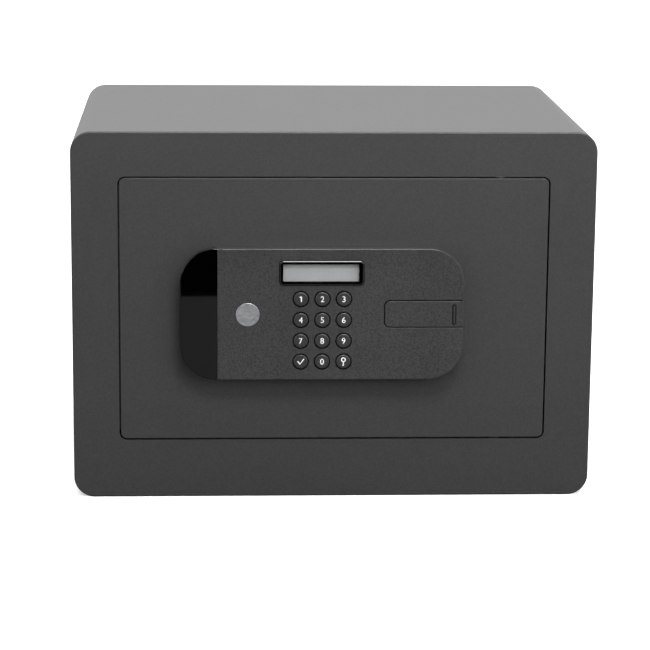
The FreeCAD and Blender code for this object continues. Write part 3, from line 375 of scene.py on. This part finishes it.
PAINT = (0.0265, 0.0267, 0.0270)
CHARCOAL = (0.030, 0.0302, 0.0305)
MATERIALS = {
    "body_paint": powder_coat("anthracite_coat", PAINT),
    "door_paint": powder_coat("anthracite_coat_door", tint(PAINT, 1.02)),
    "inner_paint": powder_coat("anthracite_coat_inside", tint(PAINT, 0.9), 0.5),
    "felt": felt("needle_felt", (0.020, 0.020, 0.022)),
    "zinc_steel": metal("zinc_plate", (0.60, 0.60, 0.58), 0.34),
    "bright_steel": metal("bright_chrome", (0.72, 0.72, 0.73), 0.14, (0.2, 1, 1)),
    "bronze": metal("sintered_bronze", (0.50, 0.33, 0.16), 0.45),
    "screw_steel": metal("screw_zinc", (0.55, 0.55, 0.54), 0.30),
    "motor_plastic": grained_plastic("motor_black", (0.020, 0.020, 0.021), 0.55),
    "cable_sheath": rubber("cable_black", (0.012, 0.012, 0.012)),
    "cover_plastic": grained_plastic("cover_black", (0.026, 0.026, 0.027), 0.52),
    "gloss_black": gloss_plastic("piano_black", (0.0003, 0.0003, 0.0003)),
    # fascia: painted shade in its grooves, slots and key holes
    "fascia_plastic": grained_plastic("fascia_grain", CHARCOAL, 0.34, 0.0011, 0.44,
                                      painted_shade_reach=PAINTED_SHADE_REACH),
    "board_green": board_green("solder_mask"),
    "key_rubber": rubber("silicone_mat", (0.22, 0.22, 0.22)),
    "display_grey": display_grey("display_segments"),
    "clear_window": clear_window("clear_window"),
    "badge_metal": metal("satin_badge", (0.50, 0.515, 0.525), 0.42),
    "lock_brass": metal("nickel_lock", (0.62, 0.59, 0.52), 0.26),
    # keys: painted shade where they sink into their holes
    "key_plastic": grained_plastic("key_satin", tint(CHARCOAL, 0.85), 0.34, 0.0008, 0.12,
                                   painted_shade_reach=PAINTED_SHADE_REACH),
}


# Nodes with a finish of their own; neighbouring cells point opposite ways
UP_CELL = battery_film("cell_plus_up", True)
DOWN_CELL = battery_film("cell_plus_down", False)
NODE_LOOKS = {
    "display_bezel": gloss_plastic("bezel_lacquer", (0.0003, 0.0003, 0.0003), 0.8, 0.03),
    "battery_1": UP_CELL,
    "battery_2": DOWN_CELL,
    "battery_3": UP_CELL,
    "battery_4": DOWN_CELL,
    "panel_base": grained_plastic("panel_side", (0.028, 0.028, 0.028), 0.42, 0.0009, 0.1),
}
LEGEND_PAINT = grained_plastic("legend_white", (0.82, 0.82, 0.82), 0.5, 0.0008, 0.03)


def dress_cad():
    """Every CAD node takes the material of its own slot, or its own finish."""
    for part in frame["record"]["subparts"]:
        mesh = NODES[part["node"]].data
        mesh.materials.clear()
        mesh.materials.append(NODE_LOOKS.get(part["node"]) or MATERIALS[part["material_slot"]])


# ---------------------------------------------------------------- pieces

def add_piece(name, mesh, body, material):
    obj = bpy.data.objects.new(name, mesh)
    bpy.context.scene.collection.objects.link(obj)
    mesh.materials.clear()
    mesh.materials.append(material)
    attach(obj, body)
    return obj


def front_text(body, height):
    """Mesh of a character facing -Y, centred on the origin, its capitals that high."""
    curve = bpy.data.curves.new("legend", "FONT")
    curve.body = body
    curve.align_x = "CENTER"
    curve.size = height / CAPITAL
    curve.extrude = LEGEND_T / 2
    curve.resolution_u = 6
    obj = bpy.data.objects.new("legend", curve)
    mesh = bpy.data.meshes.new_from_object(obj)
    bpy.data.objects.remove(obj)
    xs = [v.co.x for v in mesh.vertices]
    ys = [v.co.y for v in mesh.vertices]
    shift = Vector((-(min(xs) + max(xs)) / 2, -(min(ys) + max(ys)) / 2, 0))
    mesh.transform(Matrix.Rotation(math.radians(90), 4, "X") @ Matrix.Translation(shift))
    return mesh


def stroke_mesh(paths, width):
    """Flat strokes of that width facing -Y; a path is points in X and Z, and whether it closes."""
    bm = bmesh.new()
    for points, closed in paths:
        count = len(points)
        rims = []
        for i, p in enumerate(points):
            before = points[(i - 1) % count] if closed or i else p
            after = points[(i + 1) % count] if closed or i < count - 1 else p
            back = (Vector(p) - Vector(before)).normalized() if before != p else None
            on = (Vector(after) - Vector(p)).normalized() if after != p else None
            back = back or on
            on = on or back
            way = (back + on).normalized()
            across = Vector((-way.y, way.x)) * (width / 2 / max(0.5, way.dot(on)))
            rims.append([bm.verts.new((p[0] + side * across.x, y, p[1] + side * across.y))
                         for y in (-LEGEND_T / 2, LEGEND_T / 2) for side in (-1, 1)])
        spans = list(zip(rims, rims[1:] + rims[:1])) if closed else list(zip(rims, rims[1:]))
        for a, b in spans:
            for i, j in ((0, 1), (1, 3), (3, 2), (2, 0)):
                bm.faces.new((a[i], a[j], b[j], b[i]))
        if not closed:
            for rim in (rims[0], rims[-1]):
                bm.faces.new((rim[0], rim[1], rim[3], rim[2]))
    bmesh.ops.recalc_face_normals(bm, faces=bm.faces)
    mesh = bpy.data.meshes.new("strokes")
    bm.to_mesh(mesh)
    bm.free()
    return mesh


def one_mesh(h):
    """The figure 1, with a flag at its top."""
    stem = [(0.08 * h, 0.50 * h), (0.08 * h, -0.50 * h)]
    flag = [(-0.22 * h, 0.30 * h), (0.10 * h, 0.43 * h)]
    return stroke_mesh([(stem, False), (flag, False)], STROKE * h)


def tick_mesh(h):
    line = [(-0.52 * h, 0.10 * h), (-0.10 * h, -0.42 * h), (0.60 * h, 0.53 * h)]
    return stroke_mesh([(line, False)], STROKE * h)


def key_symbol_mesh(h):
    r = KEY_RING_R * h
    angles = [i * math.pi / 16 for i in range(32)]
    ring = [(r * math.cos(a), KEY_RING_Z * h + r * math.sin(a)) for a in angles]
    stem = [(0, KEY_RING_Z * h - r), (0, -0.74 * h)]
    bit = [(0.02 * h, -0.62 * h), (-0.20 * h, -0.62 * h)]
    return stroke_mesh([(ring, True), (stem, False), (bit, False)], KEY_STROKE * h)


def make_legends():
    shapes = {name: front_text(text, LEGEND_H) for name, text in LEGENDS.items()}
    shapes["key_enter"] = tick_mesh(LEGEND_H)
    shapes["key_menu"] = key_symbol_mesh(LEGEND_H)
    shapes["key_1"] = one_mesh(LEGEND_H)
    for name, mesh in shapes.items():
        low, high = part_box(name)
        face_y = low.y + KEY_DISH
        mesh.transform(Matrix.Translation(((low.x + high.x) / 2, face_y, (low.z + high.z) / 2)))
        add_piece("legend_" + name, mesh, name, LEGEND_PAINT)


def make_cover_ribs():
    """Moulded stiffening ribs on the inner cover, beside the battery lid."""
    low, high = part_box("inner_cover")
    face_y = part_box("inner_cover_screws")[1].y - SCREW_HEAD
    x0 = low.x + RIB_SIDE
    x1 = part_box("battery_cover")[0].x - RIB_LID
    z0 = low.z + RIB_END
    z1 = high.z - RIB_END
    bm = bmesh.new()
    for i in range(RIB_COUNT):
        z = z0 + (z1 - z0) * i / (RIB_COUNT - 1)
        place = Matrix.Translation(((x0 + x1) / 2, face_y, z))
        size = Matrix.Diagonal((x1 - x0, 2 * RIB_HEIGHT, RIB_WIDTH, 1))
        bmesh.ops.create_cube(bm, size=1.0, matrix=place @ size)
    upright = [e for e in bm.edges if abs(e.verts[0].co.y - e.verts[1].co.y) > RIB_HEIGHT]
    bmesh.ops.bevel(bm, geom=upright, offset=0.45 * RIB_WIDTH, segments=5, affect="EDGES")
    crest = [e for e in bm.edges if min(v.co.y for v in e.verts) > face_y + 0.9 * RIB_HEIGHT]
    bmesh.ops.bevel(bm, geom=crest, offset=0.4 * RIB_HEIGHT, segments=3, affect="EDGES")
    mesh = bpy.data.meshes.new("cover_ribs")
    bm.to_mesh(mesh)
    bm.free()
    add_piece("inner_cover_ribs", mesh, "door", MATERIALS["cover_plastic"])


def ring_points(curve, points):
    """Add a closed outline to a flat curve."""
    spline = curve.splines.new("POLY")
    spline.points.add(len(points) - 1)
    for place, (x, y) in zip(spline.points, points):
        place.co = (x, y, 0, 1)
    spline.use_cyclic_u = True


def arc(centre, radius, start, turn, steps):
    angles = [start + turn * i / steps for i in range(steps + 1)]
    return [(centre[0] + radius * math.cos(a), centre[1] + radius * math.sin(a)) for a in angles]


def mat_outline(low, high):
    """Flat mesh of the mat, rounded along its edges, cut out over the four fixing holes."""
    inset = MAT_EDGE_R
    corner = MAT_CORNER_R - inset
    x0, x1 = low.x + inset, high.x - inset
    y0, y1 = low.y + inset, high.y - inset
    centres = [(x1 - corner, y1 - corner), (x0 + corner, y1 - corner),
               (x0 + corner, y0 + corner), (x1 - corner, y0 + corner)]
    quarter = math.pi / 2
    outline = [p for i, c in enumerate(centres) for p in arc(c, corner, i * quarter, quarter, 8)]
    curve = bpy.data.curves.new("mat_outline", "CURVE")
    curve.dimensions = "2D"
    curve.fill_mode = "BOTH"
    curve.extrude = (high.z - low.z) / 2 - inset
    curve.bevel_depth = inset
    curve.bevel_resolution = 2
    ring_points(curve, outline)
    for x, y in MAT_HOLES:
        ring_points(curve, arc((x, y), MAT_HOLE_R + inset, 0, 2 * math.pi, 40)[:-1])
    obj = bpy.data.objects.new("mat_outline", curve)
    mesh = bpy.data.meshes.new_from_object(obj)
    bpy.data.objects.remove(obj)
    return mesh


def lay_mat(mesh, low, high):
    """Cut the mat into cells, and let its upper face wave a little."""
    bm = bmesh.new()
    bm.from_mesh(mesh)
    bmesh.ops.remove_doubles(bm, verts=bm.verts, dist=0.01 * MM)
    for axis, start, end in ((0, low.x, high.x), (1, low.y, high.y)):
        count = round((end - start) / MAT_CELL)
        normal = Vector((0, 0, 0))
        normal[axis] = 1
        for i in range(1, count):
            place = normal * (start + (end - start) * i / count)
            everything = bm.verts[:] + bm.edges[:] + bm.faces[:]
            bmesh.ops.bisect_plane(bm, geom=everything, plane_co=place, plane_no=normal)
    middle = (low.z + high.z) / 2
    for vert in bm.verts:
        vert.co.z += middle
        if vert.co.z > middle:
            vert.co.z += MAT_WAVE * (noise.noise(vert.co / MAT_WAVE_L) - 1)
    for face in bm.faces:
        face.smooth = True
    bm.to_mesh(mesh)
    bm.free()


def make_floor_mat():
    """Needle-felt mat laid on the floor of the safe."""
    low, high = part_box("floor_mat")
    mesh = mat_outline(low, high)
    lay_mat(mesh, low, high)
    mat = add_piece("felt_mat", mesh, "body", MATERIALS["felt"])
    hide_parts("floor_mat")


# ---------------------------------------------------------------- stage

def make_camera():
    yaw, pitch, roll = (math.radians(a) for a in (CAMERA_YAW, CAMERA_PITCH, CAMERA_ROLL))
    level = math.cos(pitch)
    forward = Vector((-math.sin(yaw) * level, math.cos(yaw) * level, -math.sin(pitch)))
    right = Vector((math.cos(yaw), math.sin(yaw), 0))
    up = right.cross(forward)
    turned_right = right * math.cos(roll) + up * math.sin(roll)
    turned_up = up * math.cos(roll) - right * math.sin(roll)
    data = bpy.data.cameras.new("camera")
    data.lens = CAMERA_LENS
    data.sensor_width = SENSOR_WIDTH
    data.clip_start = CLIP_START
    camera = bpy.data.objects.new("camera", data)
    turn = Matrix((turned_right, turned_up, -forward)).transposed().to_4x4()
    camera.matrix_world = Matrix.Translation(CAMERA_AT) @ turn
    bpy.context.scene.collection.objects.link(camera)
    bpy.context.scene.camera = camera


def make_floor():
    bm = bmesh.new()
    near = [(-FLOOR_SIDE, FLOOR_FRONT), (FLOOR_SIDE, FLOOR_FRONT)]
    far = [(FLOOR_SIDE, FLOOR_BACK), (-FLOOR_SIDE, FLOOR_BACK)]
    bm.faces.new([bm.verts.new((x, y, 0)) for x, y in near + far])
    mesh = bpy.data.meshes.new("floor")
    bm.to_mesh(mesh)
    bm.free()
    floor = bpy.data.objects.new("floor", mesh)
    bpy.context.scene.collection.objects.link(floor)
    s = Shader("pale_floor", 0.9, specular=0.1)
    seen = s.tree.nodes.new("ShaderNodeLightPath")
    cloud = s.noise(0.4, 2.0)
    dull, pale = (s.ramp(cloud, *SPREAD, *((grey,) * 3 for grey in pair))
                  for pair in (FLOOR_DULL, FLOOR_PALE))
    s.colour(s.mix(seen.outputs["Is Camera Ray"], dull, pale))
    glow = s.mix(seen.outputs["Is Camera Ray"], s.grey(0.0), s.grey(FLOOR_GLOW))
    s.link(glow, s.bsdf.inputs["Emission Color"])
    s.bsdf.inputs["Emission Strength"].default_value = 1.0
    mesh.materials.append(s.mat)


def make_world():
    """White behind the object; light comes from above and behind, little from the front."""
    world = bpy.data.worlds.new("studio")
    bpy.context.scene.world = world
    world.use_nodes = True
    tree = world.node_tree
    out = tree.nodes["World Output"]
    white = tree.nodes["Background"]
    white.inputs["Color"].default_value = (1, 1, 1, 1)
    white.inputs["Strength"].default_value = 1.0
    around = tree.nodes.new("ShaderNodeBackground")
    coords = tree.nodes.new("ShaderNodeTexCoord")
    split = tree.nodes.new("ShaderNodeSeparateXYZ")
    tree.links.new(coords.outputs["Generated"], split.inputs["Vector"])
    lit = tree.nodes.new("ShaderNodeMapRange")
    lit.inputs["From Min"].default_value = WORLD_DARK_Y
    lit.inputs["From Max"].default_value = WORLD_LIT_Y
    lit.inputs["To Min"].default_value = WORLD_DARK
    lit.inputs["To Max"].default_value = WORLD_LIT
    tree.links.new(split.outputs["Y"], lit.inputs["Value"])
    tree.links.new(lit.outputs["Result"], around.inputs["Strength"])
    seen = tree.nodes.new("ShaderNodeLightPath")
    mix = tree.nodes.new("ShaderNodeMixShader")
    tree.links.new(seen.outputs["Is Camera Ray"], mix.inputs["Fac"])
    tree.links.new(around.outputs["Background"], mix.inputs[1])
    tree.links.new(white.outputs["Background"], mix.inputs[2])
    tree.links.new(mix.outputs["Shader"], out.inputs["Surface"])


def area_light(name, at, target, size, power):
    data = bpy.data.lights.new(name, "AREA")
    data.shape = "RECTANGLE"
    data.size, data.size_y = size
    data.energy = power
    light = bpy.data.objects.new(name, data)
    way = Vector(target) - Vector(at)
    light.matrix_world = Matrix.Translation(at) @ way.to_track_quat("-Z", "Y").to_matrix().to_4x4()
    bpy.context.scene.collection.objects.link(light)


bpy.context.scene.view_settings.view_transform = "Standard"
make_camera()
make_world()
for light_name, light_at, light_size, light_power in LIGHTS:
    area_light(light_name, light_at, LIGHT_TARGET, light_size, light_power)
make_floor()
dress_cad()
make_legends()
make_floor_mat()
make_cover_ribs()
